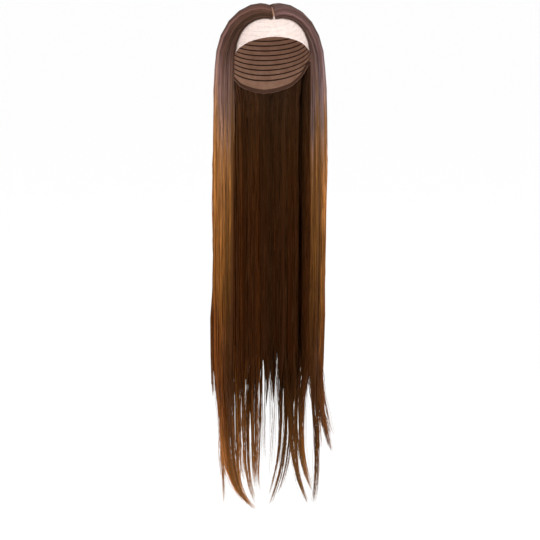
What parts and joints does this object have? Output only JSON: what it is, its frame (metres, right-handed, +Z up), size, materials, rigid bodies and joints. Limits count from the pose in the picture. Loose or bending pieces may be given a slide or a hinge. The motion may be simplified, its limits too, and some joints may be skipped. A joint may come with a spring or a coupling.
{
  "type": "lace front wig",
  "caption": "Very long straight lace front wig with a centre part, dark roots and warm brown lengths, hanging in a hollow curtain that ends in tapering locks.",
  "frame": {"origin": "inside of the crown, the point where the cap sits on the top of a head", "axes": "+Z up out of the crown, so the hair hangs along -Z; -Y the way the face looks; +X to the right as seen from in front"},
  "size_m": [0.2319, 0.2144, 0.9791],
  "materials": {
    "sheer_lace": "matt sheer lace in a pale skin tone",
    "cap_net": "matt dark brown stretch net",
    "front_hair": "satin straight hair, dark ash brown at the roots to caramel brown",
    "back_hair": "satin straight hair, dark chestnut brown"
  },
  "bodies": {
    "root": {"lace_front": "sheer_lace", "wig_cap": "cap_net", "front_hair_left": "front_hair", "front_hair_right": "front_hair", "back_hair_left": "back_hair", "back_hair_right": "back_hair", "nape_hair": "back_hair"}
  },
  "joints": []
}
